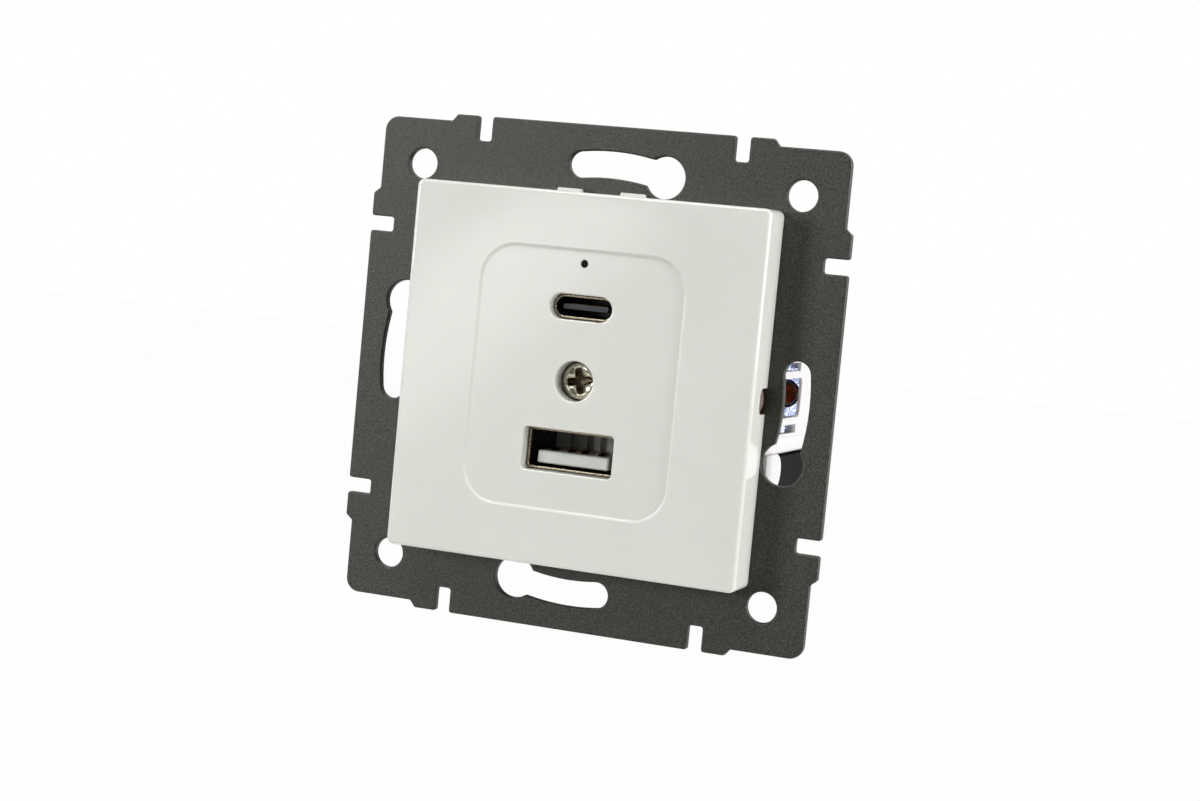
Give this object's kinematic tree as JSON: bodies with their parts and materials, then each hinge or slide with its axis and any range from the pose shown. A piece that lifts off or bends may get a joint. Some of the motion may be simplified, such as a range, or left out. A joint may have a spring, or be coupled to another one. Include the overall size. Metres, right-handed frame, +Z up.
{
  "type": "usb wall socket",
  "caption": "Flush-mounted USB charging socket: square steel mounting plate, white cover with one USB-C and one USB-A port, and a charger unit with spreading claws.",
  "frame": {"origin": "centre of the mounting plate's rear face, which lies on the wall", "axes": "-Y points into the room, square to the wall; +Z up; +X right as seen from the room"},
  "size_m": [0.071, 0.0392, 0.071],
  "materials": {
    "plate_steel": "fine matt powder coat",
    "cover_white": "satin moulding",
    "housing_white": "satin moulding",
    "housing_black": "matt moulding",
    "nickel_steel": "nickel plated",
    "insulator_white": "smooth moulding",
    "insulator_black": "smooth moulding",
    "contact_gold": "gold plated",
    "brass": "turned and stamped",
    "clear_plastic": "clear",
    "led_red": "cast resin",
    "board_green": "solder mask",
    "chip_black": "moulded epoxy",
    "pin_tin": "tinned",
    "ferrite": "sintered",
    "winding_tape": "polyester tape",
    "can_sleeve": "shrink sleeve",
    "ceramic_blue": "dipped coat",
    "resistor_coat": "cement coat",
    "zinc_yellow": "yellow zinc plate",
    "zinc_blue": "blue zinc plate"
  },
  "bodies": {
    "unit": {"mounting_plate": "plate_steel", "front_cover": "cover_white", "front_housing": "housing_white", "rear_housing": "housing_black", "cover_screw": "nickel_steel", "usb_a_shell": "nickel_steel", "usb_c_shell": "nickel_steel", "usb_c_mid_plate": "nickel_steel", "plate_screws": "nickel_steel", "usb_a_insulator": "insulator_white", "usb_c_tongue": "insulator_black", "usb_a_contacts": "contact_gold", "usb_c_contacts": "contact_gold", "cover_screw_insert": "brass", "terminal_bar_right": "brass", "terminal_bar_left": "brass", "light_pipe": "clear_plastic", "indicator_led": "led_red", "socket_board": "board_green", "power_board": "board_green", "charge_controller": "chip_black", "switching_controller": "chip_black", "bridge_rectifier": "chip_black", "board_link_pins": "pin_tin", "transformer_core": "ferrite", "transformer_winding": "winding_tape", "input_capacitors": "can_sleeve", "output_capacitor": "can_sleeve", "interference_capacitor": "ceramic_blue", "fuse_resistor": "resistor_coat"},
    "claw_screw_right": {"claw_screw_right": "zinc_yellow"},
    "claw_nut_right": {"claw_nut_right": "zinc_blue"},
    "claw_right": {"claw_right": "zinc_blue"},
    "terminal_screw_right": {"terminal_screw_right": "zinc_blue"},
    "terminal_clamp_right": {"terminal_clamp_right": "zinc_blue"},
    "claw_screw_left": {"claw_screw_left": "zinc_yellow"},
    "claw_nut_left": {"claw_nut_left": "zinc_blue"},
    "claw_left": {"claw_left": "zinc_blue"},
    "terminal_screw_left": {"terminal_screw_left": "zinc_blue"},
    "terminal_clamp_left": {"terminal_clamp_left": "zinc_blue"}
  },
  "joints": [
    {"name": "claw_screw_right_turn", "type": "hinge", "parent": "unit", "child": "claw_screw_right", "pos_m": [0.0223, 0, 0], "axis": [0, 1, 0], "range_deg": [0, 3600]},
    {"name": "claw_nut_right_slide", "type": "slide", "parent": "unit", "child": "claw_nut_right", "axis": [0, -1, 0], "range_m": [0, 0.005]},
    {"name": "claw_right_splay", "type": "hinge", "parent": "claw_nut_right", "child": "claw_right", "pos_m": [0.0223, 0.02225, 0], "axis": [0, 0, 1], "range_deg": [0, 16]},
    {"name": "terminal_screw_right_turn", "type": "hinge", "parent": "unit", "child": "terminal_screw_right", "pos_m": [0.0065, 0.031, -0.019], "axis": [0, -1, 0], "range_deg": [0, 1440]},
    {"name": "terminal_clamp_right_slide", "type": "slide", "parent": "unit", "child": "terminal_clamp_right", "axis": [0, 1, 0], "range_m": [0, 0.002]},
    {"name": "claw_screw_left_turn", "type": "hinge", "parent": "unit", "child": "claw_screw_left", "pos_m": [-0.0223, 0, 0], "axis": [0, 1, 0], "range_deg": [0, 3600]},
    {"name": "claw_nut_left_slide", "type": "slide", "parent": "unit", "child": "claw_nut_left", "axis": [0, -1, 0], "range_m": [0, 0.005]},
    {"name": "claw_left_splay", "type": "hinge", "parent": "claw_nut_left", "child": "claw_left", "pos_m": [-0.0223, 0.02225, 0], "axis": [0, 0, -1], "range_deg": [0, 16]},
    {"name": "terminal_screw_left_turn", "type": "hinge", "parent": "unit", "child": "terminal_screw_left", "pos_m": [-0.0065, 0.031, -0.019], "axis": [0, -1, 0], "range_deg": [0, 1440]},
    {"name": "terminal_clamp_left_slide", "type": "slide", "parent": "unit", "child": "terminal_clamp_left", "axis": [0, 1, 0], "range_m": [0, 0.002]}
  ],
  "couplings": [
    {"joint": "claw_screw_right_turn", "follows": "claw_nut_right_slide", "rad_per_m": 12566},
    {"joint": "claw_right_splay", "follows": "claw_nut_right_slide", "rad_per_m": 55.851},
    {"joint": "terminal_screw_right_turn", "follows": "terminal_clamp_right_slide", "rad_per_m": 12566},
    {"joint": "claw_screw_left_turn", "follows": "claw_nut_left_slide", "rad_per_m": 12566},
    {"joint": "claw_left_splay", "follows": "claw_nut_left_slide", "rad_per_m": 55.851},
    {"joint": "terminal_screw_left_turn", "follows": "terminal_clamp_left_slide", "rad_per_m": 12566}
  ]
}
